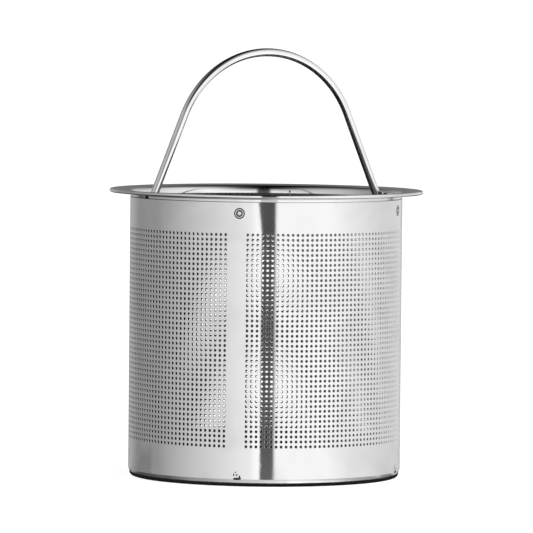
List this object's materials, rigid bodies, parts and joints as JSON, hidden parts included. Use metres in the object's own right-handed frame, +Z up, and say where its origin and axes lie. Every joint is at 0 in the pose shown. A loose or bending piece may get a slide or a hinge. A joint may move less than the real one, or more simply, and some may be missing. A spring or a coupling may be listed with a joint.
{
  "type": "strainer basket",
  "caption": "Lift-out strainer basket of polished steel: a perforated tube with a flanged rim, a shallow pressed base and a wire bail that folds down onto the rim.",
  "frame": {"origin": "on the tube's axis, level with the underside of the base", "axes": "+Z up along the tube's axis, X along the bail's pivot axis"},
  "size_m": [0.076, 0.076, 0.1038],
  "materials": {
    "sheet_steel": "polished",
    "rim_steel": "polished",
    "base_steel": "polished",
    "wire_steel": "mirror polished",
    "weld_steel": "as welded"
  },
  "bodies": {
    "basket": {"perforated_wall": "sheet_steel", "rim_ring": "rim_steel", "base_cup": "base_steel", "rim_weld_1": "weld_steel", "rim_weld_2": "weld_steel", "rim_weld_3": "weld_steel", "rim_weld_4": "weld_steel", "base_weld_1": "weld_steel", "base_weld_2": "weld_steel", "base_weld_3": "weld_steel", "base_weld_4": "weld_steel"},
    "bail": {"bail_handle": "wire_steel"}
  },
  "joints": [
    {"name": "bail_pivot", "type": "hinge", "parent": "basket", "child": "bail", "pos_m": [0, 0, 0.06745], "axis": [1, 0, 0], "range_deg": [-82.5, 82.5]}
  ]
}
